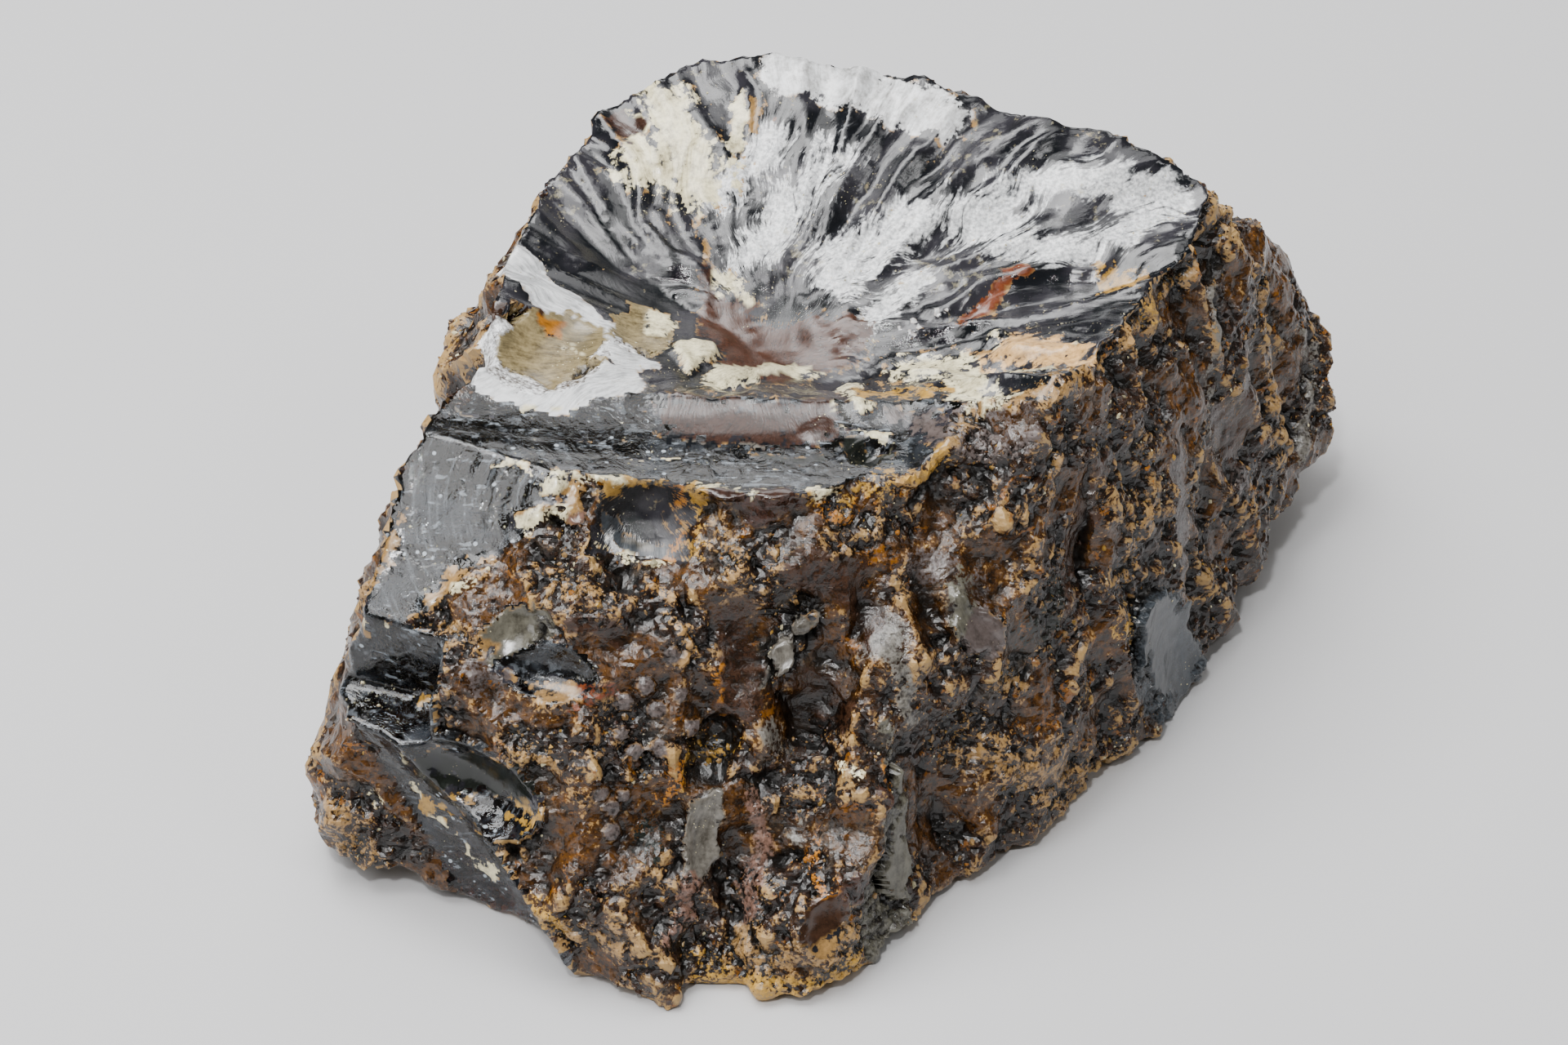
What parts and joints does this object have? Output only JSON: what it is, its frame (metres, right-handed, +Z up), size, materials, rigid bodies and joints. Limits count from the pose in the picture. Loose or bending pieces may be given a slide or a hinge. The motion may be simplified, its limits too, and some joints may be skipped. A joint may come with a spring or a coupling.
{
  "type": "rough amber",
  "caption": "A fist-sized lump of dark rough amber in its brown crumbly rind, with glassy broken faces on its top and front corner, lying on its flat underside.",
  "frame": {"origin": "under the middle of the lump's bounding box, on the plane that it rests on", "axes": "+X across the lump to the right of the broad rind face, +Y from that face to the back, +Z up, metres; X is the longest extent and Z the shortest"},
  "size_m": [0.0994, 0.092, 0.0487],
  "materials": {
    "amber": "dark brown waxy rind over near-black clear amber"
  },
  "bodies": {
    "root": {"amber": "amber"}
  },
  "joints": []
}
